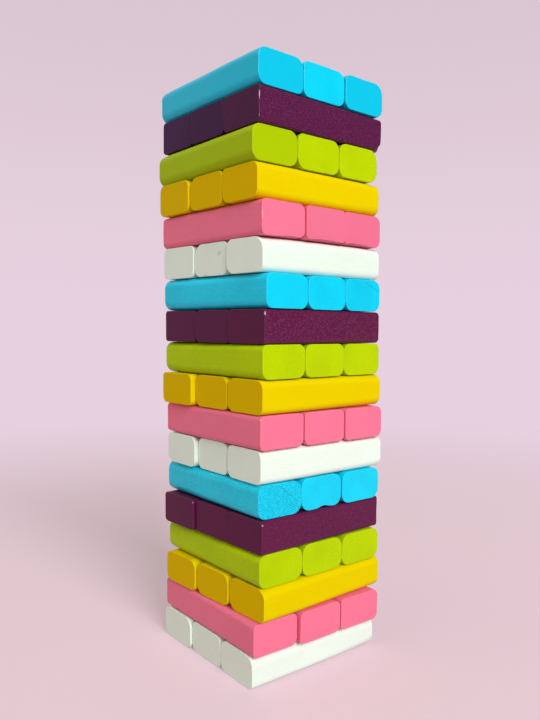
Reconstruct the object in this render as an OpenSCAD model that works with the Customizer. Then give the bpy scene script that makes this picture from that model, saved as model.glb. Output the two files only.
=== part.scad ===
// Tumbling tower game: eighteen courses of three painted wooden blocks, each course laid
// across the one below it. The origin is the middle of the underside of the lowest middle
// block, and +Z is up. All sizes are in millimetres and all turns in degrees.

/* [Block] */
// Length of a block
block_l = 75; // [60:0.5:90]
// Width of a block, so that three side by side are just no wider than one is long
block_w = 24.8; // [20:0.2:30]
// Thickness of a block, which is the height of a course
block_t = 15; // [12:0.5:20]
// Rounding of the edges round a block's two sawn ends
end_r = 0.5; // [0.2:0.05:0.5]

/* [Long edges] */
// Rounding of the long edges of the ivory blocks
ivory_r = 3; // [1:0.25:5]
// Rounding of the long edges of the pink blocks
pink_r = 2.25; // [1:0.25:5]
// Rounding of the long edges of the yellow blocks
yellow_r = 3; // [1:0.25:5]
// Rounding of the long edges of the lime blocks
lime_r = 4; // [1:0.25:5]
// Rounding of the long edges of the purple blocks
purple_r = 1.25; // [1:0.25:5]
// Rounding of the long edges of the cyan blocks
cyan_r = 4; // [1:0.25:5]

/* [Tower] */
// Number of courses
courses = 18; // [6:1:20]
// Air between one course and the next
course_gap = 0.15; // [0.05:0.05:0.5]
// Air between neighbours in a course
side_gap = 0.2; // [0.1:0.05:1]

/* [Hidden] */
$fn = 48;

// The stack was put up by hand, so no course lies quite square on the one below.
// Turn of each course about its own middle, from the lowest course up
turns = [
    -2.25, -2, 0.75, -1.25, 0.75, -1.5, -1.5, -0.5, 0.25,
    0.75, 2, 2.5, 1.5, 1.25, 0, -1, 0, -0.25
];
// Shift of each course from the middle of the lowest one, along X and along Y
shifts = [
    [0, 0], [-0.25, -1], [1.25, -1.75], [1.5, -1], [0.75, -0.75], [1.25, -0.5],
    [2.25, -1], [0.75, -1], [1, -0.75], [0.75, -0.25], [0.5, 0], [0.5, -0.25],
    [0.25, 0.5], [0, 0.5], [-1.25, 0.5], [-2.25, 1.25], [-0.75, 0.25], [-1, 0.25]
];
// Air between the neighbours of each course, over and above the side gap
spreads = [0, 0.3, 0.2, 0, 0, 0, 0, 0.1, 0.1, 0, 0, 0, 0, 0.1, 0.1, 0, 0, 0.1];
// Blocks that stand out of their course or, below zero, lie back in it, each given as its
// row, its seat and how far: along -X in a row that runs along X, along -Y in the others
standouts = [
    [1, "back", 1], [2, "middle", 1.75], [2, "right", 1.75], [3, "back", 1.25],
    [3, "middle", 0.5], [5, "back", 1.25], [6, "middle", -0.25], [6, "right", 0.25],
    [7, "back", 1.5], [7, "middle", -0.5], [8, "middle", 0.5], [8, "right", 1.25],
    [9, "back", 2.5], [10, "right", -0.25], [11, "back", -0.5], [11, "middle", -0.25],
    [13, "back", -0.25], [13, "middle", -0.75], [14, "middle", 0.75], [14, "right", 0.25],
    [15, "back", 0.75], [17, "back", -0.5], [18, "right", 0.5]
];

colour_names = ["ivory", "pink", "yellow", "lime", "purple", "cyan"];
seats_across = ["front", "middle", "back"];
seats_along = ["left", "middle", "right"];
course_pitch = block_t + course_gap;

// Courses are counted from zero and rows from one. Odd rows run along X, even rows along Y.
function runs_along_y(course) = course % 2 == 1;
function seats(course) = runs_along_y(course) ? seats_along : seats_across;
function two_digits(n) = n < 10 ? str("0", n) : str(n);
function block_name(course, seat) = str(
    "row", two_digits(course + 1), "_", colour_names[course % len(colour_names)], "_",
    seats(course)[seat]
);

// A rectangle with round corners, in the middle of the plane
module rounded_rectangle(length, width, r) {
    square([length - 2 * r, width], center = true);
    square([length, width - 2 * r], center = true);
    for (x = [-1, 1], y = [-1, 1])
        translate([x * (length / 2 - r), y * (width / 2 - r)]) circle(r);
}

// A quarter of a round bar along X, whose end edge has the same rounding as the block's
module edge_bar(r) {
    rotate([0, 90, 0]) rotate_extrude(angle = 90) {
        translate([0, -block_l / 2]) square([r - end_r, block_l]);
        translate([0, end_r - block_l / 2]) square([r, block_l - 2 * end_r]);
        for (end = [-1, 1])
            translate([r - end_r, end * (block_l / 2 - end_r)]) circle(end_r);
    }
}

// One block along X: two slabs that cross, with a bar along each long edge
module plain_block(edge_r) {
    rotate([90, 0, 0]) linear_extrude(block_w - 2 * edge_r, center = true)
        rounded_rectangle(block_l, block_t, end_r);
    linear_extrude(block_t - 2 * edge_r, center = true)
        rounded_rectangle(block_l, block_w, end_r);
    for (y = [0, 1], z = [0, 1])
        mirror([0, y, 0]) mirror([0, 0, z])
        translate([0, block_w / 2 - edge_r, edge_r - block_t / 2])
            edge_bar(edge_r);
}

module ivory_block() { color("#f3f3e6") plain_block(ivory_r); }
module pink_block() { color("#f5819f") plain_block(pink_r); }
module yellow_block() { color("#efcf0a") plain_block(yellow_r); }
module lime_block() { color("#b8d010") plain_block(lime_r); }
module purple_block() { color("#5c2748") plain_block(purple_r); }
module cyan_block() { color("#1fc9ee") plain_block(cyan_r); }

// The block of a course's colour; the six colours repeat up the tower
module painted_block(course) {
    colour = course % len(colour_names);
    if (colour == 0) ivory_block();
    if (colour == 1) pink_block();
    if (colour == 2) yellow_block();
    if (colour == 3) lime_block();
    if (colour == 4) purple_block();
    if (colour == 5) cyan_block();
}

// How far a block stands out of its course
function standout(course, seat) = let(
    lay = course % len(turns),
    found = [for (s = standouts) if (s[0] == lay + 1 && s[1] == seats(course)[seat]) s[2]]
) len(found) > 0 ? found[0] : 0;

// Puts a block in its seat of a course, with the course's turn and shift
module seated(course, seat) {
    lay = course % len(turns);
    beside = (seat - 1) * (block_w + side_gap + spreads[lay]);
    along = -standout(course, seat);
    translate([shifts[lay][0], shifts[lay][1], course * course_pitch + block_t / 2])
        rotate(turns[lay])
            translate(runs_along_y(course) ? [beside, along, 0] : [along, beside, 0])
                rotate(runs_along_y(course) ? 90 : 0)
                    children();
}

for (course = [0 : courses - 1], seat = [0 : 2])
    seated(course, seat) painted_block(course);
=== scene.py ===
"""A tumbling tower game: painted wooden blocks stacked crosswise in rows of three.

Every block is a piece of its own, built round the place that its solid holds in the frame, so
its size, its turn and the rounding of its edges are read there and not written here. What is
written here is the finish of the six paints, and the marks that make one block differ from the
next: corners sanded more or less, a chipped edge, grain that shows through, paint scuffed to a
sparse coat. Some of the colour is painted light. The pale rims round the sawn ends are partly a
painted highlight, and the pale streaks on a few upright edges are painted highlights. A deeper
coat on some blocks of the top rows is painted shade, and the deeper coat on the sawn ends of
the yellow and the purple blocks is partly painted shade.

Units are metres. A block's own axes are x along its length, from the end that the photograph
shows to the far one, y across it and z up.
"""

import logging
import math
import zlib
from dataclasses import dataclass
from enum import Enum
from functools import partial, reduce
from typing import NamedTuple

import bpy
import numpy as np
from mathutils import Matrix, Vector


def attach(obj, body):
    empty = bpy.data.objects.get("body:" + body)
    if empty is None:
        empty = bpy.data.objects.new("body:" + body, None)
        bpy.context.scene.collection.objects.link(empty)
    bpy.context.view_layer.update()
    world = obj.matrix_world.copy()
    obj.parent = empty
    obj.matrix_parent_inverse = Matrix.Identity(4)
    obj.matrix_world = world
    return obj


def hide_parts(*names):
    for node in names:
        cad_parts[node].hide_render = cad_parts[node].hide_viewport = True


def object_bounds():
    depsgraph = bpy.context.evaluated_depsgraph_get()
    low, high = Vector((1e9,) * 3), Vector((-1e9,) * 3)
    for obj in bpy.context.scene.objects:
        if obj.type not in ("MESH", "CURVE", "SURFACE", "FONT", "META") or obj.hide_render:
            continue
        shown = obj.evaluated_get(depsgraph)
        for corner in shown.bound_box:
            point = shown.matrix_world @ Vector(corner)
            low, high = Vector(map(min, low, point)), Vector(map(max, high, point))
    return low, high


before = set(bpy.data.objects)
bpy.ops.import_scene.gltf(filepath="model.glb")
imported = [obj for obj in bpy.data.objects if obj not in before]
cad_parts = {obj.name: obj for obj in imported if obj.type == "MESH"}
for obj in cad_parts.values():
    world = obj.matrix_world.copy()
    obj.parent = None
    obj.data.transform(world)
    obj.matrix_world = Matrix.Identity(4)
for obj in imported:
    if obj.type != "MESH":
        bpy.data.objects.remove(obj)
CAD_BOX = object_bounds()

MM = 0.001
log = logging.getLogger("tumbling_tower")

Socket = bpy.types.NodeSocket
Colour = tuple[float, float, float, float]


class Paint(Enum):
    """The six paints, in the order in which they repeat up the tower."""

    IVORY = "ivory"
    PINK = "pink"
    YELLOW = "yellow"
    LIME = "lime"
    PURPLE = "purple"
    CYAN = "cyan"


class Lay(Enum):
    """Which way the blocks of a row run."""

    ALONG_X = 0
    ALONG_Y = 90


def linear(hex_code: str) -> Colour:
    """Turns an sRGB hex value into the linear colour that shaders take, with an alpha of 1.

    Each channel c, from 0 to 1, becomes c / 12.92 up to 0.04045 and ((c + 0.055) / 1.055) ** 2.4
    above it."""
    channels = [int(hex_code[i:i + 2], 16) / 255 for i in (1, 3, 5)]
    return (*[c / 12.92 if c <= 0.04045 else ((c + 0.055) / 1.055) ** 2.4 for c in channels], 1.0)


def put(name: str, data: bpy.types.ID) -> bpy.types.Object:
    """Makes an object that shows some data and puts it in the scene."""
    made = bpy.data.objects.new(name, data)
    bpy.context.scene.collection.objects.link(made)
    return made


@dataclass(frozen=True)
class Recipe:
    """A node tree that is being filled, with the steps that its patterns are made of.

    Attributes:
        tree: the node tree.
    """

    tree: bpy.types.NodeTree

    @classmethod
    def emptied(cls, owner: bpy.types.Material | bpy.types.World) -> "Recipe":
        """Turns nodes on for a material or a world and clears its tree."""
        owner.use_nodes = True
        owner.node_tree.nodes.clear()
        return cls(owner.node_tree)

    def add(self, kind: str, settings: dict | None = None,
            inputs: dict | None = None) -> bpy.types.Node:
        """Adds a node with its settings and links.

        Args:
            kind: the node's type, without the ShaderNode in front.
            settings: attribute names of the node and their values.
            inputs: input names or numbers, each with a value or with the output that it links to.

        Returns:
            The new node.
        """
        node = self.tree.nodes.new("ShaderNode" + kind)
        for name, value in (settings or {}).items():
            setattr(node, name, value)
        for name, value in (inputs or {}).items():
            if isinstance(value, Socket):
                self.tree.links.new(value, node.inputs[name])
            else:
                node.inputs[name].default_value = value
        return node

    def attribute(self, name: str, output: str = "Fac") -> Socket:
        """Reads one of the mesh's own attributes."""
        return self.add("Attribute", {"attribute_name": name}).outputs[output]

    def calc(self, operation: str, *values: float | Socket) -> Socket:
        """Adds one sum, with numbers or other outputs in it."""
        return self.add("Math", {"operation": operation}, dict(enumerate(values))).outputs[0]

    def times(self, *values: float | Socket) -> Socket:
        """Multiplies all the values."""
        return reduce(partial(self.calc, "MULTIPLY"), values)

    def most(self, *values: float | Socket) -> Socket:
        """Takes the largest of the values."""
        return reduce(partial(self.calc, "MAXIMUM"), values)

    def mixture(self, *parts: tuple[Socket, float]) -> Socket:
        """Adds up outputs, each times its share."""
        return reduce(lambda total, part: self.calc("MULTIPLY_ADD", *part, total), parts, 0.0)

    def band(self, value: Socket, low: float, high: float, bottom: float = 0.0,
             top: float = 1.0) -> Socket:
        """Goes smoothly from bottom to top while a value goes from low to high."""
        return self.add("MapRange", {"interpolation_type": "SMOOTHSTEP"}, {
            0: value, 1: low, 2: high, 3: bottom, 4: top}).outputs[0]

    def noise(self, place: Socket, length: float, width: float, detail: float = 0.0) -> Socket:
        """Adds noise whose lumps have one length along x and one width across it."""
        scaled = self.add("Mapping", inputs={
            "Vector": place, "Scale": (1 / length, 1 / width, 1 / width)}).outputs[0]
        return self.add("TexNoise", inputs={
            "Vector": scaled, "Scale": 1.0, "Detail": detail}).outputs[0]

    def blend(self, share: Socket, under: Colour | Socket, over: Colour | Socket) -> Socket:
        """Covers one colour with a share of another. The node's colours are inputs 6 and 7."""
        return self.add("Mix", {"data_type": "RGBA"}, {0: share, 6: under, 7: over}).outputs[2]


class Grain(NamedTuple):
    """The patterns of one finish, each an output from 0 to 1.

    Attributes:
        wood: a block's own coordinates, moved to its place in the log.
        streaks: long streaks along the wood.
        mottle: broad clouds in the coat.
        tooth: fine short streaks in the coat.
        sunk: how far the coat has sunk into pores and rings.
        cracked: 1 in the crack of an end.
    """

    wood: Socket
    streaks: Socket
    mottle: Socket
    tooth: Socket
    sunk: Socket
    cracked: Socket


@dataclass(frozen=True)
class PaintedWood:
    """Satin enamel on a sanded hardwood block, dipped and tumbled.

    To the eye it is one even, strong colour with a low, soft sheen. The wood telegraphs through
    the sparse coat as fine streaks along the block and as pits on its sawn ends, and where hands
    and edges have scuffed it the coat is scant and pale. The pale rims round the sawn ends are
    partly a painted highlight, the pale streaks on a few upright edges are painted highlights,
    and some of the deeper coat is painted shade.

    Attributes:
        paint: which of the six paints it is.
        coat: colour of the paint, in sRGB.
        deep_and_shade: colour of the paint where it lies thickest, also the colour of the
        painted shade on some blocks of the top rows and on shaded sawn ends.
        gap: colour down in a pore or a crack.
        worn_and_highlight: colour where the coat is scuffed through, and of the painted
        highlights on the rims round the ends and on some upright edges.
        sheen: roughness of the coat.
        thin_and_highlight: how pale the rims round the sawn ends are, from 0 to 1. The
        paleness is partly the wood showing where the coat has drawn back from those edges and
        partly a painted highlight where the rounded edges catch the light.
        dust: how pale the specks are that lie in an open grain, from 0 to 1.
        gloss: how strongly the coat mirrors, where 0.5 is what its IOR gives. The coat's fine
            tooth scatters the rest.
        end_grain_and_shade: how much deeper the coat is on the sawn ends, from 0 to 1. On the
        yellow and the purple blocks, whose ends lie in shade, it is partly paint soaked into the
        end grain and partly painted shade.
        streaked: how much thicker it lies in the dark streaks of the wood, from 0 to 1.
    """

    paint: Paint
    coat: str
    deep_and_shade: str
    gap: str
    worn_and_highlight: str
    sheen: float = 0.27
    thin_and_highlight: float = 0.2
    dust: float = 0.0
    gloss: float = 0.3
    end_grain_and_shade: float = 0.0
    streaked: float = 0.28

    # Sizes of the patterns. A true pore, 0.1 mm wide, is too fine to show, so these are wider
    STREAK_LENGTH = 26 * MM
    STREAK_WIDTH = 0.8 * MM
    PORE_LENGTH = 2.6 * MM
    PORE_WIDTH = 0.3 * MM
    RING_SPACING = 1.0 * MM
    MOTTLE_LENGTH = 28 * MM
    MOTTLE_WIDTH = 14 * MM
    TOOTH_LENGTH = 3 * MM
    TOOTH_WIDTH = 0.55 * MM
    SPECK_LENGTH = 0.8 * MM
    SPECK_WIDTH = 0.5 * MM
    # Depth of the relief in the coat, and how much of it the light shows
    RELIEF = 0.05 * MM
    RELIEF_STRENGTH = 0.6

    # Values of a pattern between which it goes from nothing to all
    PORE_BAND = (0.8, 0.86)
    RING_BAND = (0.5, 0.85)
    DOT_BAND = (0.38, 0.55)
    SPECK_BAND = (0.48, 0.72)
    RUBBED_BAND = (0.6, 0.85)
    # What a fully open grain adds to the pattern of its pores
    PORE_OPENING = 0.12
    # One turn of the ring wave takes this much of the texture's unit
    WAVE_TURN = 0.314
    # How far the coat sinks into a pore and into a ring
    PORE_SINK = 0.6
    RING_SINK = 0.75
    # Shares of the streaks, the mottle and the tooth in the tone of the wood, and the tones at
    # which the coat lies deepest and thinnest
    TONE_SHARES = (0.2, 0.4, 0.4)
    TONE_RANGE = (0.38, 0.6)
    # Shares of the streaks and the tooth in the relief
    RELIEF_SHARES = (0.25, 0.35)
    # How much of the tooth shows at the rim of a rubbed place
    RUBBED_TOOTH = 0.5
    # Dust that stays on the sawn ends, as a share
    DUST_ON_ENDS = 0.3
    # How much rougher the sawn ends are
    END_ROUGHNESS = 0.04
    # The crack in an end: half its width at the rim and at the core, how far it wanders and how
    # deep it goes, in mm, the share of its length that is full width, and how dark it is
    CRACK_RIM = 0.22
    CRACK_CORE = 0.04
    CRACK_WANDER = 0.25
    CRACK_DEPTH = 0.8
    CRACK_FULL = 0.8
    CRACK_DARKNESS = 0.55
    # Length over which the crack wanders
    CRACK_BEND = 3 * MM

    def rings(self, recipe: Recipe, wood: Socket) -> Socket:
        """Draws the year rings on the sawn ends, as dotted lines round the log's middle.

        Args:
            recipe: the material's nodes.
            wood: coordinates in the log.

        Returns:
            1 in a ring.
        """
        opened, sawn = recipe.attribute("open"), recipe.attribute("sawn")
        wave = recipe.add("TexWave", {"wave_type": "RINGS", "rings_direction": "X"}, {
            "Vector": wood, "Scale": self.WAVE_TURN / self.RING_SPACING, "Distortion": 1.5,
            "Detail": 1.0, "Detail Scale": 0.2}).outputs["Fac"]
        dots = recipe.band(recipe.noise(wood, self.SPECK_LENGTH, self.SPECK_LENGTH), *self.DOT_BAND)
        return recipe.times(recipe.band(wave, *self.RING_BAND), dots, sawn, opened, opened)

    def crack(self, recipe: Recipe, wood: Socket) -> Socket:
        """Draws the crack in an end.

        The attribute check holds a point's place by it: along it in half-lengths, across it in
        mm, and below the end in mm.

        Args:
            recipe: the material's nodes.
            wood: coordinates in the log.

        Returns:
            1 in the crack.
        """
        check = recipe.add("SeparateXYZ", inputs={0: recipe.attribute("check", "Vector")}).outputs
        bends = recipe.noise(wood, self.CRACK_BEND, self.CRACK_BEND)
        astray = recipe.calc("MULTIPLY_ADD", bends, 2 * self.CRACK_WANDER, -self.CRACK_WANDER)
        beside = recipe.calc("ABSOLUTE", recipe.calc("ADD", check["Y"], astray))
        return recipe.times(
            recipe.band(beside, self.CRACK_RIM, self.CRACK_CORE),
            recipe.band(recipe.calc("ABSOLUTE", check["X"]), 1.0, self.CRACK_FULL),
            recipe.band(check["Z"], self.CRACK_DEPTH, self.CRACK_DEPTH / 2))

    def grain(self, recipe: Recipe) -> Grain:
        """Draws the wood's patterns.

        They read the attribute wood, a block's own coordinates moved to a different part of the
        log for each block, so the streaks run along the block and end as pits on its sawn ends.

        Args:
            recipe: the material's nodes.

        Returns:
            The patterns.
        """
        wood = recipe.attribute("wood", "Vector")
        opened = recipe.attribute("open")
        # The more open the grain, the more and the wider the pores
        pores = recipe.band(recipe.calc("MULTIPLY_ADD", opened, self.PORE_OPENING, recipe.noise(
            wood, self.PORE_LENGTH, self.PORE_WIDTH)), *self.PORE_BAND)
        return Grain(
            wood=wood,
            streaks=recipe.noise(wood, self.STREAK_LENGTH, self.STREAK_WIDTH, detail=2.0),
            mottle=recipe.noise(wood, self.MOTTLE_LENGTH, self.MOTTLE_WIDTH, detail=1.0),
            tooth=recipe.noise(wood, self.TOOTH_LENGTH, self.TOOTH_WIDTH, detail=1.0),
            sunk=recipe.most(recipe.times(pores, opened, self.PORE_SINK),
                             recipe.times(self.rings(recipe, wood), self.RING_SINK)),
            cracked=self.crack(recipe, wood),
        )

    def paleness(self, recipe: Recipe, grain: Grain) -> Socket:
        """Shows where the coat is pale: where it is scuffed through, drawn back from an edge or
        dusty, and where a highlight is painted on a rim or on an upright edge.

        Args:
            recipe: the material's nodes.
            grain: the wood's patterns.

        Returns:
            How much of the pale colour shows.
        """
        # Pale marks: scuffed coat, and painted highlights on some upright edges
        rubbed_and_glint = recipe.mixture((grain.tooth, self.RUBBED_TOOTH), (recipe.attribute("rubbed_and_glint"), 1.0))
        ragged = recipe.band(rubbed_and_glint, *self.RUBBED_BAND)
        # The rims round the ends are paler, partly as coat drawn back and partly as a painted
        # highlight
        pale = recipe.most(ragged, recipe.times(recipe.attribute("rim"), self.thin_and_highlight))
        if not self.dust:
            return pale
        specks = recipe.band(
            recipe.noise(grain.wood, self.SPECK_LENGTH, self.SPECK_WIDTH), *self.SPECK_BAND)
        off_ends = recipe.calc("MULTIPLY_ADD", recipe.attribute("sawn"), self.DUST_ON_ENDS - 1, 1.0)
        return recipe.most(pale, recipe.times(specks, recipe.attribute("open"), off_ends, self.dust))

    def colour(self, recipe: Recipe, grain: Grain) -> Socket:
        """Colours the coat: deeper in the dark streaks, where the paint lies heavier and where
        shade is painted, dark in pores, cracks and stains, and pale where it is scuffed and where
        highlights are painted.

        Args:
            recipe: the material's nodes.
            grain: the wood's patterns.

        Returns:
            The colour.
        """
        darkest, palest = self.TONE_RANGE
        tone = recipe.mixture(*zip((grain.streaks, grain.mottle, grain.tooth), self.TONE_SHARES))
        shade = recipe.add("MapRange", inputs={
            0: tone, 1: darkest, 2: palest, 3: self.streaked, 4: 0.0}).outputs[0]
        # The deeper coat on the sawn ends and on some blocks is partly heavier paint and partly
        # painted shade
        deeper = recipe.most(shade, recipe.calc(
            "MULTIPLY_ADD", recipe.attribute("sawn"), self.end_grain_and_shade, recipe.attribute("thick_and_shade")))
        dark = recipe.most(recipe.attribute("stained"), grain.sunk,
                           recipe.times(grain.cracked, self.CRACK_DARKNESS))
        coat = recipe.blend(deeper, linear(self.coat), linear(self.deep_and_shade))
        coat = recipe.blend(dark, coat, linear(self.gap))
        return recipe.blend(self.paleness(recipe, grain), coat, linear(self.worn_and_highlight))

    def material(self) -> bpy.types.Material:
        """Builds the finish.

        The blocks' attributes steer it. Open says how much of the grain shows, and
        thick_and_shade how much deeper than usual the coat is, from heavier paint and from painted
        shade. Sawn is 1 on the ends, rim is 1 on the edges round them, rubbed_and_glint is 1 where
        the coat is scuffed and where a highlight is painted, and stained is 1 in a stain.

        Returns:
            The material.
        """
        material = bpy.data.materials.new(f"satin_{self.paint.value}_enamel_on_wood")
        recipe = Recipe.emptied(material)
        grain = self.grain(recipe)
        raised = recipe.mixture(*zip((grain.streaks, grain.tooth), self.RELIEF_SHARES))
        height = recipe.calc("SUBTRACT", raised, recipe.most(grain.sunk, grain.cracked))
        bump = recipe.add("Bump", inputs={
            "Strength": self.RELIEF_STRENGTH, "Distance": self.RELIEF, "Height": height})
        rough = recipe.calc("MULTIPLY_ADD", recipe.attribute("sawn"), self.END_ROUGHNESS, self.sheen)
        shader = recipe.add("BsdfPrincipled", inputs={
            "Base Color": self.colour(recipe, grain), "Roughness": rough, "IOR": 1.5,
            "Specular IOR Level": self.gloss, "Normal": bump.outputs[0]})
        recipe.add("OutputMaterial", inputs={"Surface": shader.outputs[0]})
        return material


# Each finish pales the rims round its sawn ends, partly as a painted highlight, and the yellow and the
# purple finishes deepen their sawn ends, which lie in shade, partly as painted shade
FINISHES = (
    PaintedWood(Paint.IVORY, "#eefbee", "#e4ead8", "#8a7a58", "#fffef4", thin_and_highlight=0.3, gloss=0.45),
    PaintedWood(Paint.PINK, "#fb7a98", "#e56e8e", "#8c2a40", "#ffcad3", thin_and_highlight=0.1, gloss=0.12),
    PaintedWood(Paint.YELLOW, "#eacf00", "#e09c00", "#6e4800", "#ffe95a", thin_and_highlight=0.12, gloss=0.015,
                end_grain_and_shade=0.4, streaked=0.1),
    PaintedWood(Paint.LIME, "#bfd800", "#8eac06", "#4a5a00", "#e6fa50", thin_and_highlight=0.26, gloss=0.06),
    PaintedWood(Paint.PURPLE, "#661b42", "#3e1645", "#1c0816", "#c9a3c0", thin_and_highlight=0.08, dust=0.07,
                gloss=0.1, end_grain_and_shade=0.25),
    PaintedWood(Paint.CYAN, "#00dbfd", "#009aba", "#034a5e", "#a8f2ff", thin_and_highlight=0.1, gloss=0.25),
)


@dataclass(frozen=True)
class Mark:
    """A place on a block where something has happened to it.

    Attributes:
        at: middle of the mark in mm, in the block's own axes, from the block's middle.
        size: half-width of the mark along each axis, in mm.
        push: how far its middle is pushed in, in mm along each axis.
        rub_and_glint: how pale the coat is there, from 0 to 1, for scuffed coat and for a
        painted highlight on an edge.
        stain: how dark it is stained, from 0 to 1.
    """

    at: tuple[float, float, float]
    size: tuple[float, float, float]
    push: tuple[float, float, float] = (0.0, 0.0, 0.0)
    rub_and_glint: float = 0.0
    stain: float = 0.0

    def strength(self, points: np.ndarray) -> np.ndarray:
        """How much of the mark each point gets: e to the power of minus the squared distance
        from its middle, counted in half-widths."""
        away = (points / MM - np.array(self.at)) / np.array(self.size)
        return np.exp(-(away ** 2).sum(-1))


@dataclass(frozen=True)
class Character:
    """What sets one block apart from its neighbours.

    Attributes:
        corners: how much rounder than usual its four long edges are at the end that shows, in
            mm, in the order +y+z, -y+z, -y-z, +y-z. From that end these are top left, top
            right, bottom right and bottom left.
        far: how much rounder they all are at the other end, in mm.
        grain: how much of the grain shows through the coat, from 0 to 1.
        thick_and_shade: how much deeper than usual its coat is, from 0 to 1: heavier paint,
        and on some blocks of the top rows painted shade.
        pith: where the middle of the log lay, in mm from the block's middle along y and z.
            The rings on its ends curve round it. Without one, it lies somewhere at random.
        check: the two ends, in mm along y and z, of a crack in the end that shows.
        marks: its dents, chips, scuffed places and painted highlights.
    """

    corners: tuple[float, float, float, float] = (0.0, 0.0, 0.0, 0.0)
    far: float = 0.0
    grain: float = 0.15
    thick_and_shade: float = 0.0
    pith: tuple[float, float] | None = None
    check: tuple[tuple[float, float], tuple[float, float]] | None = None
    marks: tuple[Mark, ...] = ()


# Where the edges round the end that shows lie along a block, in mm
SHOWN_EDGE = -37.2


def wear_and_glint_edge(side: float, middle: float, length: float, rub_and_glint: float, width: float = 0.5) -> Mark:
    """A pale stretch of an upright edge: scuffed coat on some blocks and a painted highlight
    on others. It takes y of the edge, z of its middle, half its length, how pale the coat is and
    half its width. All but the paleness are in mm."""
    return Mark((SHOWN_EDGE, side, middle), (width, width, length), rub_and_glint=rub_and_glint)


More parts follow.
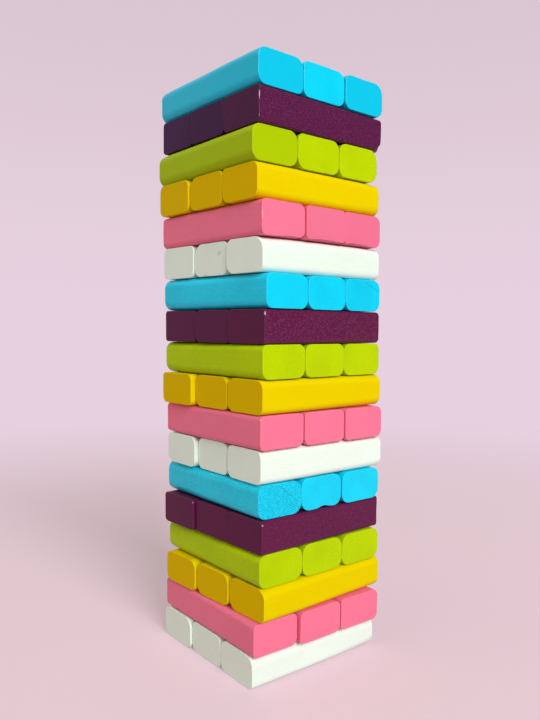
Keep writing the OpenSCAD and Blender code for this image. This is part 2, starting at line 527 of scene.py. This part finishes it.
# The blocks by row, from the lowest up, and by seat
CHARACTERS = {
    (1, "back"): Character((0.8, 1.3, 0.0, 0.4)),
    (1, "middle"): Character((0.0, 0.9, -0.3, 0.4)),
    (1, "front"): Character((0.8, 1.6, -0.3, 0.8), far=2.4),
    # Painted highlight down the left upright edge of its shown end
    (2, "left"): Character((0.0, 0.4, 1.0, 0.0), marks=(wear_and_glint_edge(12.2, 0, 5, 0.35),)),
    (2, "middle"): Character((0.8, 0.3, 0.8, 0.0)),
    (2, "right"): Character((0.0, 0.7, 0.8, 0.0)),
    (3, "back"): Character((0.2, 0.8, -0.3, 0.2)),
    (3, "middle"): Character((0.5, 1.0, 0.8, 1.9)),
    (3, "front"): Character((0.5, 1.2, -0.2, 1.8), far=0.6, grain=0.05, marks=(
        wear_and_glint_edge(-12.2, 5, 2.5, 0.5),)),
    (4, "left"): Character((-0.3, 0.2, 0.8, -0.8), grain=0.35),
    (4, "middle"): Character((0.3, 0.3, 0.0, 0.0)),
    (4, "right"): Character((0.3, -0.3, 0.4, -0.2)),
    # Painted highlight: a glint at the top right corner of its shown end
    (5, "back"): Character((0.8, 0.3, 0.3, 0.8), grain=0.05, marks=(
        wear_and_glint_edge(-12.0, 6.2, 0.45, 0.8),)),
    (5, "middle"): Character((0.8, 0.0, 0.3, 0.8), grain=0.1),
    # Painted highlight: a glint at the top right corner of its shown end
    (5, "front"): Character((0.8, 0.0, 0.0, 0.0), grain=0.35, marks=(
        wear_and_glint_edge(-12.2, 6.0, 0.4, 0.8),)),
    (6, "left"): Character((-0.5, 0.4, 0.3, -0.3), grain=0.8, pith=(-45.0, 58.0),
                           check=((2.0, 7.2), (-10.9, -2.6))),
    (6, "middle"): Character((-0.3, 0.2, 0.3, 0.3), marks=(
        Mark((-37.5, -1.5, -7.5), (6.0, 3.2, 2.5), push=(0.3, 0.0, 0.9)),)),
    (6, "right"): Character((0.0, -0.3, 0.3, 0.0)),
    (7, "back"): Character((0.4, 0.8, 0.4, 0.8)),
    (7, "middle"): Character((0.4, 1.2, 0.8, 0.4), marks=(
        Mark((-37.5, -12.4, -1.5), (2.0, 1.6, 5.0), push=(0.5, 0.9, 0.0), rub_and_glint=0.3),)),
    (7, "front"): Character((0.0, 0.4, -0.3, 0.8), far=0.8),
    (8, "left"): Character((0.0, -0.2, 1.0, 0.0), grain=0.2, marks=(
        wear_and_glint_edge(12.2, 6.0, 0.5, 0.8),)),
    (8, "middle"): Character((0.0, 0.2, 0.5, 1.0)),
    (8, "right"): Character((-0.5, 1.0, 1.0, 0.0)),
    (9, "back"): Character((-0.8, -0.3, -0.8, -0.3)),
    (9, "middle"): Character((0.4, 0.4, 0.0, 0.8)),
    (9, "front"): Character((0.8, 0.4, -0.3, 1.0), far=1.0, grain=0.05),
    (10, "left"): Character((-1.4, -0.6, -0.1, -0.6), grain=0.2),
    (10, "middle"): Character((-0.7, -0.7, -0.4, -0.6)),
    (10, "right"): Character((-0.8, -1.3, -0.4, -0.4)),
    (11, "back"): Character((0.5, 0.5, 0.3, 0.3), grain=0.1, thick_and_shade=0.15),
    (11, "middle"): Character((2.5, 0.0, 0.7, 2.5), grain=0.15, thick_and_shade=0.15),
    (11, "front"): Character((1.0, 0.2, 0.0, 0.7), far=0.9, grain=0.7, marks=(
        wear_and_glint_edge(-12.2, 5.5, 1.0, 0.9), wear_and_glint_edge(-12.2, -1.0, 4.5, 0.25))),
    (12, "left"): Character((-0.8, 0.0, -0.2, -1.0), grain=0.15),
    (12, "middle"): Character((-0.2, 0.0, 0.0, 0.2)),
    (12, "right"): Character((-0.6, 0.3, 0.0, -0.3), grain=0.3, check=((-0.6, 6.8), (-11.9, 1.6))),
    (13, "back"): Character((0.0, -0.3, -0.5, 0.0)),
    (13, "middle"): Character((2.6, 0.0, 0.4, 0.8), grain=0.3, marks=(
        Mark((-37.4, 4.0, -7.6), (0.8, 0.9, 0.8), stain=0.8),
        Mark((-37.4, 2.2, -7.6), (0.8, 0.8, 0.6), stain=0.6),
        Mark((-37.4, -6.6, 2.4), (0.8, 0.9, 0.9), stain=0.4))),
    (13, "front"): Character((0.4, 3.0, 0.0, 1.2), far=0.6),
    # Painted highlight down the left upright edge of its shown end
    (14, "left"): Character((0.0, 0.8, 0.8, 0.0), marks=(
        wear_and_glint_edge(12.2, 1.5, 6, 0.55),
        Mark((-37.5, -6.0, -7.5), (3.5, 8.0, 2.0), push=(0.2, 0.0, 0.7)))),
    (14, "middle"): Character((-0.5, -0.5, -0.5, 0.0), thick_and_shade=0.5, marks=(
        Mark((-37.5, 0.0, -7.5), (3.5, 14.0, 2.0), push=(0.3, 0.0, 0.9)),)),
    (14, "right"): Character((-0.8, 1.3, 1.3, -0.5), thick_and_shade=0.55, marks=(
        Mark((-37.5, 4.5, -7.5), (3.5, 11.0, 2.0), push=(0.3, 0.0, 0.9)),)),
    (15, "back"): Character((0.0, 0.4, 0.4, 0.4)),
    (15, "middle"): Character((2.2, -0.8, -0.5, 0.6)),
    (15, "front"): Character((-0.5, 0.4, 0.2, 1.5), far=1.0, grain=0.05),
    # Painted highlight down the left upright edge of its shown end, and painted shade in its deeper
    # coat
    (16, "left"): Character((-0.3, 0.3, 0.3, 0.0), thick_and_shade=0.4, marks=(
        wear_and_glint_edge(12.2, 0, 4.5, 0.4),)),
    (16, "middle"): Character((-1.4, -0.2, -0.4, 0.2), thick_and_shade=0.12),
    (16, "right"): Character((-0.3, 0.4, 0.5, -0.4)),
    # Row 17's deeper coats are painted shade, darker towards the top of the tower
    (17, "back"): Character((0.6, 0.3, 0.3, 0.6), grain=0.1, thick_and_shade=0.9),
    (17, "middle"): Character((0.6, 0.3, 0.6, 0.6), grain=0.1, thick_and_shade=0.75),
    (17, "front"): Character((0.5, 0.0, 0.2, 1.0), far=0.8, grain=0.7, thick_and_shade=0.4, marks=(
        wear_and_glint_edge(-12.2, 3.4, 3.2, 0.75, 0.35), wear_and_glint_edge(-12.2, -5.0, 1.8, 0.6, 0.35),
        Mark((37.5, -12.4, -6.5), (2.5, 2.6, 1.8), push=(-1.1, 0.35, 0.8), rub_and_glint=0.3))),
    # Painted highlight down the left upright edge of its shown end, and painted shade in its deeper
    # coat
    (18, "left"): Character((-0.5, 0.2, -1.4, -0.3), grain=0.3, thick_and_shade=0.35, marks=(
        wear_and_glint_edge(12.2, 0, 4.5, 0.4),)),
    (18, "middle"): Character((-1.8, 0.0, -0.5, -1.2)),
    (18, "right"): Character((-1.4, 0.6, -0.6, -0.8), thick_and_shade=0.35),
}


@dataclass(frozen=True)
class Place:
    """Where a block's solid lies in the frame, and its size.

    Attributes:
        centre: its middle.
        axes: its own x, y and z as the columns of a matrix.
        size: its length, width and thickness.
        edge: rounding of its long edges.
        end: rounding of the edges round its ends.
    """

    centre: np.ndarray
    axes: np.ndarray
    size: np.ndarray
    edge: float
    end: float

    # Points of the solid count as lying on a face when they are this near it
    NEAR = 3e-6
    # A face is upright when its normal rises no more than this
    UPRIGHT = 0.01

    @classmethod
    def of(cls, solid: bpy.types.Object, lay: Lay) -> "Place":
        """Measures a solid.

        The turn is a quarter of the angle of the sum, over the upright faces, of area times the
        unit vector at four times the face's direction. The four sides of a block then all point
        the same way, so the sum is their common turn.

        Args:
            solid: the block's solid from the frame.
            lay: which way its row runs.

        Returns:
            The place.
        """
        mesh = solid.data
        points = np.empty(len(mesh.vertices) * 3, np.float32)
        normals = np.empty(len(mesh.polygons) * 3, np.float32)
        areas = np.empty(len(mesh.polygons), np.float32)
        mesh.vertices.foreach_get("co", points)
        mesh.polygons.foreach_get("normal", normals)
        mesh.polygons.foreach_get("area", areas)
        points = points.reshape(-1, 3).astype(float)
        normals = normals.reshape(-1, 3).astype(float)
        upright = areas * (np.abs(normals[:, 2]) < cls.UPRIGHT)
        four_times = 4 * np.arctan2(normals[:, 1], normals[:, 0])
        turn = math.atan2((upright * np.sin(four_times)).sum(),
                          (upright * np.cos(four_times)).sum()) / 4
        axes = np.array(Matrix.Rotation(turn + math.radians(lay.value), 3, "Z"))
        own = points @ axes
        low, high = own.min(0), own.max(0)
        half = (high - low) / 2
        own = np.abs(own - (low + high) / 2)
        on_side = own[:, 1] > half[1] - cls.NEAR
        on_end = own[:, 0] > half[0] - cls.NEAR
        return cls(
            centre=axes @ ((low + high) / 2),
            axes=axes,
            size=high - low,
            edge=half[2] - own[on_side, 2].max(),
            end=half[2] - own[on_end, 2].max(),
        )


@dataclass
class Block:
    """One painted block.

    Its surface is a rounded rectangle carried along the block's length. A ring of points goes
    round the section, and the rings go from the middle of one end out over the end, round the
    end edge, along the block and in to the middle of the other end.

    Attributes:
        name: the node that it stands for.
        place: where its solid lies.
        paint: its paint.
        character: what sets it apart.
    """

    name: str
    place: Place
    paint: Paint
    character: Character

    # Steps round each long edge, across the top and the bottom, up each side, round each end
    # edge and along the block
    ARC_STEPS = 8
    WIDE_STEPS = 16
    HIGH_STEPS = 12
    END_STEPS = 4
    LENGTH_STEPS = 64
    # Rings of an end face, as shares of its outline
    FACE_SHARES = (0.15, 0.35, 0.55, 0.72, 0.85, 0.94, 0.985)
    # Share of the cosine spacing in the steps along the block, which packs them near its ends
    END_PACKING = 0.85
    # Unevenness left by sanding: of the edge rounding, as a share, and of the faces, with
    # the length over which the faces dip
    EDGE_UNEVEN = 0.06
    FACE_UNEVEN = 0.08 * MM
    DIP_SPACING = 40 * MM
    # Rounding of the edges round the ends, as a share of the solid's, and how far it varies
    END_SHARE = 0.62
    END_UNEVEN = 0.2
    # How far the pale rim on those edges varies, as a share; the rim is partly a painted highlight
    RIM_UNEVEN = 0.25
    # How much rounder the long edges are right at their ends, as a share, and how far along the
    # block that reaches
    CORNER_SOFTENING = 0.12
    CORNER_DEPTH = 2.5 * MM
    # How far along the block the rounder corners of an end die out
    CORNER_REACH = 30 * MM
    # Waves in an uneven field, and the fewest and the most of each in one wavelength
    WAVES = 3
    WAVE_COUNTS = (0.6, 2.2)
    # How far the middle of the log may lie from a block's own, in mm
    PITH_SPREAD = 30
    # What a point's place by the crack holds where there is no crack
    NO_CHECK = 9.0
    # Sign of y and of z at each of the four long edges, in turn round the section
    SIGNS = np.array([[1, 1], [-1, 1], [-1, -1], [1, -1]], float)

    def __post_init__(self) -> None:
        """Seeds the block's own random numbers from its name."""
        self.random = np.random.default_rng(zlib.crc32(self.name.encode()))

    def ripple(self, *positions: np.ndarray) -> np.ndarray:
        """A smooth uneven field from -1 to 1.

        It is the mean of a few waves, each the sine of 2 pi times the sum, over the given
        positions, of the position times a random wave count, plus a random phase.

        Args:
            positions: arrays of like shape, each in units of one rough wavelength.

        Returns:
            The field at each position.
        """
        total = 0.0
        for _ in range(self.WAVES):
            counts = self.random.uniform(*self.WAVE_COUNTS, len(positions))
            phase = self.random.uniform(0, 1)
            total = total + np.sin(2 * np.pi * (sum(c * p for c, p in zip(counts, positions)) + phase))
        return total / self.WAVES

    def section(self, radii: np.ndarray) -> tuple[np.ndarray, np.ndarray]:
        """The rounded rectangle, for one set of four radii at each ring.

        An arc point is the sharp corner plus the radius times (unit vector at its angle minus
        the corner's signs). A point on a flat lies between the end of one arc and the start of
        the next, at (1 - cos(pi s)) / 2 of the way, for s in even steps.

        Args:
            radii: rings by four long edges.

        Returns:
            Points as rings by ring points by (y, z), and the outward direction of each ring
            point.
        """
        half = self.place.size[1:] / 2
        angles = np.linspace(0, np.pi / 2, self.ARC_STEPS + 1)
        parts, outwards = [], []
        for corner in range(4):
            turned = angles + corner * np.pi / 2
            direction = np.stack([np.cos(turned), np.sin(turned)], -1)
            sign = self.SIGNS[corner]
            arc = sign * half + radii[:, corner, None, None] * (direction - sign)
            following = (corner + 1) % 4
            start = self.SIGNS[following] * half + radii[:, following, None] * (
                direction[-1] - self.SIGNS[following])
            steps = self.WIDE_STEPS if corner % 2 == 0 else self.HIGH_STEPS
            way = (1 - np.cos(np.pi * np.arange(1, steps) / steps)) / 2
            flat = arc[:, -1:] + way[None, :, None] * (start[:, None] - arc[:, -1:])
            parts += [arc, flat]
            outwards += [direction, np.repeat(direction[-1:], steps - 1, 0)]
        return np.concatenate(parts, 1), np.concatenate(outwards, 0)

    def radii(self, way: np.ndarray) -> np.ndarray:
        """Works out how round the long edges are at each ring.

        They have the solid's rounding, a little uneven and a little softer right at the ends,
        and what the block's character adds at each end. What an end adds falls off as e to the
        power of minus the distance from it, counted in reaches.

        Args:
            way: how far along the block each ring lies, from 0 to 1.

        Returns:
            Radii as rings by four long edges.
        """
        edge = self.place.edge
        from_shown = way * self.place.size[0]
        from_far = (1 - way) * self.place.size[0]
        soft = np.exp(-from_shown / self.CORNER_DEPTH) + np.exp(-from_far / self.CORNER_DEPTH)
        near = np.exp(-from_shown / self.CORNER_REACH)
        far = np.exp(-from_far / self.CORNER_REACH) * self.character.far * MM
        return np.stack([
            edge * (1 + self.EDGE_UNEVEN * self.ripple(way) + self.CORNER_SOFTENING * soft)
            + near * rounder * MM + far for rounder in self.character.corners], -1)

    def surface(self) -> tuple[np.ndarray, np.ndarray, np.ndarray]:
        """Works out every ring of the block in its own axes.

        Round an end edge of rounding e, at the angle a, a point lies e (1 - sin a) in from the
        section and e (1 - cos a) in from the end. Over an end face the outline is scaled by the
        face shares.

        Returns:
            Points as rings by ring points by (x, y, z), a matching sawn value, which is 1 on the
            end faces and 0 on the long ones, and a matching rim value, which is the sine of
            twice the angle round an end edge and 0 elsewhere.
        """
        half_length = self.place.size[0] / 2
        s = np.linspace(0, 1, self.LENGTH_STEPS + 1)
        way = (1 - self.END_PACKING) * s + self.END_PACKING * (1 - np.cos(np.pi * s)) / 2
        bend = np.linspace(0, np.pi / 2, self.END_STEPS + 1)[:-1]
        count = len(bend)
        ring_way = np.concatenate([np.zeros(count), way, np.ones(count)])
        angle = np.concatenate([bend, np.full(len(way), np.pi / 2), bend[::-1]])
        side = np.concatenate([-np.ones(count), np.zeros(len(way)), np.ones(count)])

        flat, outward = self.section(self.radii(ring_way))
        round_turn = 2 * np.pi * np.arange(flat.shape[1]) / flat.shape[1]
        across, up = np.cos(round_turn), np.sin(round_turn)
        near, far = (self.place.end * (self.END_SHARE + self.END_UNEVEN * self.ripple(across, up))
                     for _ in range(2))

        edge = np.where((side < 0)[:, None], near, far)
        inset = edge * (1 - np.sin(angle))[:, None]
        cut = edge * (1 - np.cos(angle))[:, None]
        along = (-half_length + near) + ring_way[:, None] * (2 * half_length - near - far)
        x = np.where((side < 0)[:, None], -half_length + cut, along)
        x = np.where((side > 0)[:, None], half_length - cut, x)
        points = np.concatenate([x[..., None], flat - outward * inset[..., None]], -1)
        normals = np.concatenate([
            np.broadcast_to((side * np.cos(angle))[:, None, None], x.shape + (1,)),
            outward * np.sin(angle)[:, None, None]], -1)
        sawn = np.broadcast_to((np.abs(side) * np.cos(angle))[:, None], x.shape)
        patchy = 1 + self.RIM_UNEVEN * (self.ripple(2 * across, 2 * up) - 1)
        rim = np.sin(2 * angle)[:, None] * patchy

        shares = np.array(self.FACE_SHARES)[:, None, None]
        shrunk = np.concatenate([np.ones_like(shares), shares, shares], -1)
        caps = [points[0] * shrunk, (points[-1] * shrunk)[::-1]]
        flat_on = np.broadcast_to([1.0, 0.0, 0.0], caps[0].shape)
        on_face = np.ones(caps[0].shape[:2])
        points = np.concatenate([caps[0], points, caps[1]])
        normals = np.concatenate([-flat_on, normals, flat_on])
        sawn = np.concatenate([on_face, sawn, on_face])
        rim = np.concatenate([0 * on_face, rim, 0 * on_face])

        dip = 0.5 * (1 + self.ripple(*(points / self.DIP_SPACING).transpose(2, 0, 1)))
        return points - normals * (self.FACE_UNEVEN * dip)[..., None], sawn, rim

    def by_check(self, own: np.ndarray) -> np.ndarray:
        """Where points lie by the crack in the end that shows.

        The first number is the distance along the crack from its middle, over half its length.
        The second is the distance across it and the third the depth below the end, in mm.
        Without a crack all three are well off it.

        Args:
            own: points in the block's own axes.

        Returns:
            Three numbers for each point.
        """
        if self.character.check is None:
            return np.full((len(own), 3), self.NO_CHECK)
        start, end = (np.array(point) for point in self.character.check)
        half = np.linalg.norm(end - start) / 2
        along = (end - start) / (2 * half)
        across = np.array([-along[1], along[0]])
        flat = own[:, 1:] / MM - (start + end) / 2
        depth = (own[:, 0] + self.place.size[0] / 2) / MM
        return np.stack([flat @ along / half, flat @ across, depth], -1)

    @staticmethod
    def faces(count: int, around: int) -> tuple[np.ndarray, np.ndarray]:
        """Joins each ring to the next with four-sided faces, and the outermost rings to the two
        poles, which come after all the ring points, with triangles.

        Args:
            count: rings.
            around: points in a ring.

        Returns:
            The points of each face's corners in turn, and the number of corners of each face.
        """
        grid = np.arange(count * around).reshape(count, around)
        beside = np.roll(grid, -1, 1)
        quads = np.stack([grid[:-1], beside[:-1], beside[1:], grid[1:]], -1).reshape(-1, 4)
        first, last = count * around, count * around + 1
        near_cap = np.stack([np.full(around, first), beside[0], grid[0]], -1)
        far_cap = np.stack([np.full(around, last), grid[-1], beside[-1]], -1)
        corners = np.concatenate([quads.ravel(), near_cap.ravel(), far_cap.ravel()])
        return corners, np.concatenate([np.full(len(quads), 4), np.full(2 * around, 3)])

    def mesh(self) -> bpy.types.Mesh:
        """Makes the block's mesh, closed at both ends by a point, with its attributes.

        Returns:
            The mesh, in the frame's place.
        """
        rings, sawn, rim = self.surface()
        count, around = rings.shape[:2]
        poles = np.stack([rings[0].mean(0), rings[-1].mean(0)])
        own = np.concatenate([rings.reshape(-1, 3), poles])
        rubbed_and_glint, stained = np.zeros(len(own)), np.zeros(len(own))
        pushed = own.copy()
        for mark in self.character.marks:
            strength = mark.strength(own)
            pushed += strength[:, None] * np.array(mark.push) * MM
            # Pale marks: scuffed coat, and painted highlights on some edges
            rubbed_and_glint = np.maximum(rubbed_and_glint, strength * mark.rub_and_glint)
            stained = np.maximum(stained, strength * mark.stain)

        corners, sizes = self.faces(count, around)
        starts = np.concatenate([[0], np.cumsum(sizes)[:-1]])
        mesh = bpy.data.meshes.new(self.name)
        mesh.vertices.add(len(own))
        mesh.loops.add(len(corners))
        mesh.polygons.add(len(sizes))
        placed = pushed @ self.place.axes.T + self.place.centre
        mesh.vertices.foreach_set("co", placed.astype(np.float32).ravel())
        mesh.loops.foreach_set("vertex_index", corners.astype(np.int32))
        mesh.polygons.foreach_set("loop_start", starts.astype(np.int32))
        mesh.polygons.foreach_set("use_smooth", np.ones(len(sizes), bool))
        mesh.update(calc_edges=True)

        # Each block is cut from another part of the log
        pith = self.character.pith or self.random.uniform(-self.PITH_SPREAD, self.PITH_SPREAD, 2)
        log_place = np.array([self.random.uniform(-1, 1), -pith[0] * MM, -pith[1] * MM])
        numbers = {
            "sawn": np.append(sawn, [1.0, 1.0]),
            "rim": np.append(rim, [0.0, 0.0]),
            "rubbed_and_glint": rubbed_and_glint,
            "stained": stained,
            "open": np.full(len(own), self.character.grain),
            "thick_and_shade": np.full(len(own), self.character.thick_and_shade),
        }
        for name, value in numbers.items():
            mesh.attributes.new(name, "FLOAT", "POINT").data.foreach_set(
                "value", value.astype(np.float32))
        for name, value in {"wood": own + log_place, "check": self.by_check(own)}.items():
            mesh.attributes.new(name, "FLOAT_VECTOR", "POINT").data.foreach_set(
                "vector", value.astype(np.float32).ravel())
        return mesh

    def piece(self, finish: bpy.types.Material) -> bpy.types.Object:
        """Makes the block, dresses it and puts it in its solid's place.

        Args:
            finish: its material.

        Returns:
            The piece.
        """
        mesh = self.mesh()
        mesh.materials.append(finish)
        made = put(f"{self.name}_block", mesh)
        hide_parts(self.name)
        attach(made, self.name)
        return made


@dataclass
class Tower:
    """The whole stack, with one block for each solid of the frame.

    Attributes:
        finishes: the material of each paint.
    """

    finishes: dict[Paint, bpy.types.Material]

    def build(self) -> list[bpy.types.Object]:
        """Makes every block, from the lowest row up.

        A node's name gives the row, the paint and the seat. Even rows run along Y.

        Returns:
            The pieces.
        """
        pieces = []
        for name, solid in sorted(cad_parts.items()):
            row, paint, seat = name.split("_")
            number = int(row.removeprefix("row"))
            place = Place.of(solid, Lay.ALONG_X if number % 2 else Lay.ALONG_Y)
            block = Block(name, place, Paint(paint), CHARACTERS.get((number, seat), Character()))
            piece = block.piece(self.finishes[block.paint])
            log.info("%s: %d faces", piece.name, len(piece.data.polygons))
            pieces.append(piece)
        return pieces


@dataclass(frozen=True)
class Lamp:
    """A large square soft lamp.

    Attributes:
        name: what it does.
        side: where it stands, in degrees round the tower from straight in front of its right
            side, clockwise seen from above.
        height: how high it stands, in degrees above the horizon.
        power: its power in watts.
        size: its side.
        reach: distance from the tower to it.
        colour: colour of its light.
    """

    name: str
    side: float
    height: float
    power: float
    size: float
    reach: float = 4.0
    colour: str = "#ffffff"

    def hang(self, target: np.ndarray) -> None:
        """Makes the lamp and turns it to face a point.

        Args:
            target: the point.
        """
        side, height = math.radians(self.side), math.radians(self.height)
        away = np.array([-math.sin(side) * math.cos(height), -math.cos(side) * math.cos(height),
                         math.sin(height)])
        data = bpy.data.lights.new(self.name, "AREA")
        data.shape = "SQUARE"
        data.size = self.size
        data.energy = self.power
        data.color = linear(self.colour)[:3]
        put(self.name, data).matrix_world = facing(target + away * self.reach, -away)


@dataclass
class Studio:
    """A plain pale floor that fades into a plain pale backdrop, with its lamp.

    Attributes:
        floor_colour: colour of the floor near the tower.
        backdrop_colour: what the camera sees round the tower and beyond the floor.
        zenith_colour: what the camera sees of the backdrop high up.
        lamp: the lamp.
        sky_colour: light from all round.
        sky_strength: how strong that light is.
        room_light: how much light comes from the room in front of the tower, as a share of
            what comes from the backdrop behind it.
        room_shown: how bright that room is in the mirroring of the tower's gloss.
        fade: distances from the tower between which the floor turns into the backdrop.
        lift: share of the backdrop's colour that the camera sees added to the floor, which is
            what keeps the paper as pale as the backdrop under a low lamp.
    """

    floor_colour: str = "#d2b5be"
    backdrop_colour: str = "#e7d1e0"
    zenith_colour: str = "#dac6d0"
    lamp: Lamp = Lamp("key_lamp", side=12.0, height=29.0, power=145.0, size=2.0, colour="#f6fcff")
    sky_colour: str = "#faffec"
    sky_strength: float = 0.54
    room_light: float = 0.5
    room_shown: float = 0.1
    fade: tuple[float, float] = (0.22, 0.9)
    lift: float = 0.34

    # Direction from the tower's middle to the middle of the backdrop
    BACKDROP = (-0.64, 0.77, 0.0)
    # Cosine of the angle from that direction at which the room turns into the backdrop, on
    # either side of a right angle
    ROOM_EDGE = 0.6
    # Sines of the heights between which the backdrop turns into its colour high up
    CLIMB = (0.02, 0.45)
    FLOOR_RADIUS = 6.0
    FLOOR_SIDES = 96

    @staticmethod
    def seen(recipe: Recipe) -> Socket:
        """Tells the rays that show the background: the camera's, and those off gloss and
        through glass.

        Args:
            recipe: the nodes that it joins.

        Returns:
            1 for those rays and 0 for the rest.
        """
        path = recipe.add("LightPath").outputs
        return recipe.most(*(path[f"Is {kind} Ray"] for kind in ("Camera", "Glossy", "Transmission")))

    def paper(self) -> bpy.types.Material:
        """Matt pale paper, which the camera sees turn into the backdrop with distance.

        Returns:
            The material.
        """
        material = bpy.data.materials.new("matt_pale_paper")
        recipe = Recipe.emptied(material)
        place = recipe.add("TexCoord").outputs["Object"]
        away = recipe.add("VectorMath", {"operation": "LENGTH"}, {0: place}).outputs["Value"]
        seen = self.seen(recipe)
        paper = recipe.add("BsdfDiffuse", inputs={"Color": linear(self.floor_colour)})
        pale = recipe.add("Emission", inputs={
            "Color": linear(self.backdrop_colour),
            "Strength": recipe.times(seen, self.lift)})
        near = recipe.add("AddShader", inputs={0: paper.outputs[0], 1: pale.outputs[0]})
        beyond = recipe.add("Emission", inputs={"Color": linear(self.backdrop_colour)})
        both = recipe.add("MixShader", inputs={
            0: recipe.times(recipe.band(away, *self.fade), seen),
            1: near.outputs[0], 2: beyond.outputs[0]})
        recipe.add("OutputMaterial", inputs={"Surface": both.outputs[0]})
        return material

    def floor(self) -> None:
        """Lays a round sheet of paper, whose rim is a circle worked out from its radius."""
        angles = np.linspace(0, 2 * np.pi, self.FLOOR_SIDES, endpoint=False)
        rim = np.stack([np.cos(angles), np.sin(angles), np.zeros_like(angles)], -1)
        mesh = bpy.data.meshes.new("floor")
        mesh.from_pydata((rim * self.FLOOR_RADIUS).tolist(), [], [list(range(self.FLOOR_SIDES))])
        mesh.materials.append(self.paper())
        made = put("floor", mesh)

    def world(self) -> None:
        """Soft light from all round, less of it from the room in front, and the backdrop's
        colours where the background shows, from the horizon to 27 degrees up."""
        world = bpy.data.worlds.new("pale_backdrop")
        recipe = Recipe.emptied(world)
        towards = recipe.add("TexCoord").outputs["Generated"]
        behind = recipe.add("VectorMath", {"operation": "DOT_PRODUCT"}, {
            0: towards, 1: self.BACKDROP}).outputs["Value"]
        edges = (-self.ROOM_EDGE, self.ROOM_EDGE)
        light = recipe.add("Background", inputs={
            "Color": linear(self.sky_colour),
            "Strength": recipe.band(
                behind, *edges, self.room_light * self.sky_strength, self.sky_strength)})
        height = recipe.add("SeparateXYZ", inputs={0: towards}).outputs["Z"]
        colour = recipe.blend(recipe.band(height, *self.CLIMB),
                              linear(self.backdrop_colour), linear(self.zenith_colour))
        camera_ray = recipe.add("LightPath").outputs["Is Camera Ray"]
        shown = recipe.add("Background", inputs={
            "Color": colour,
            "Strength": recipe.most(recipe.band(behind, *edges, self.room_shown), camera_ray)})
        both = recipe.add("MixShader", inputs={
            0: self.seen(recipe), 1: light.outputs[0], 2: shown.outputs[0]})
        recipe.add("OutputWorld", inputs={"Surface": both.outputs[0]})
        bpy.context.scene.world = world


def facing(place: np.ndarray, ahead: np.ndarray, roll: float = 0.0) -> Matrix:
    """The matrix of a lamp or camera at a place, looking ahead, with its own x level before it
    rolls.

    Args:
        place: where it stands.
        ahead: the direction in which it looks.
        roll: degrees by which its own x is raised, by a turn about its view.

    Returns:
        A 4 by 4 matrix.
    """
    ahead = ahead / np.linalg.norm(ahead)
    level = np.cross(ahead, [0, 0, 1])
    level = level / np.linalg.norm(level)
    over = np.cross(level, ahead)
    turn = math.radians(roll)
    right = math.cos(turn) * level + math.sin(turn) * over
    top = math.cos(turn) * over - math.sin(turn) * level
    rows = np.stack([right, top, -ahead, place], -1)
    return Matrix([*rows.tolist(), [0, 0, 0, 1]])


@dataclass(frozen=True)
class Viewpoint:
    """The camera that took the photograph, fitted to the block edges that it shows.

    Attributes:
        place: where it stood, in mm.
        heading: degrees left of straight along Y in which it looked.
        tilt: degrees above the horizon in which it looked.
        roll: degrees by which it leaned.
        focal_px: its focal length, in pixels of the photograph.
        centre_px: the pixel on its axis.
        frame_px: width and height of the photograph.
    """

    place: tuple[float, float, float] = (-218.8, -259.0, 157.8)
    heading: float = -39.73
    tilt: float = -4.64
    roll: float = 0.43
    focal_px: float = 684.3
    centre_px: tuple[float, float] = (264.2, 384.8)
    frame_px: tuple[int, int] = (540, 720)

    SENSOR = 36.0

    def camera(self) -> None:
        """Makes the camera.

        The lens is the focal length over the long side, times the sensor's long side. The shift
        is how far the frame's middle lies to the right of the pixel on the axis and above it,
        over the long side.
        """
        heading, tilt = math.radians(self.heading), math.radians(self.tilt)
        ahead = np.array([-math.sin(heading) * math.cos(tilt), math.cos(heading) * math.cos(tilt),
                          math.sin(tilt)])
        width, height = self.frame_px
        data = bpy.data.cameras.new("camera")
        data.sensor_width = self.SENSOR
        data.lens = self.focal_px / height * self.SENSOR
        data.shift_x = (width / 2 - self.centre_px[0]) / height
        data.shift_y = (self.centre_px[1] - height / 2) / height
        data.clip_start = 0.01
        data.clip_end = 50.0
        made = put("camera", data)
        made.matrix_world = facing(np.array(self.place) * MM, ahead, self.roll)
        bpy.context.scene.camera = made


def main() -> None:
    """Builds the camera, the studio and the tower, and reports each piece."""
    logging.basicConfig(level=logging.INFO, format="%(message)s")
    bpy.context.scene.view_settings.view_transform = "Standard"
    Viewpoint().camera()
    low, high = (np.array(corner) for corner in CAD_BOX)
    studio = Studio()
    studio.floor()
    studio.world()
    studio.lamp.hang((low + high) / 2)
    finishes = {finish.paint: finish.material() for finish in FINISHES}
    pieces = Tower(finishes).build()
    log.info("blocks: %d", len(pieces))


if __name__ == "__main__":
    main()
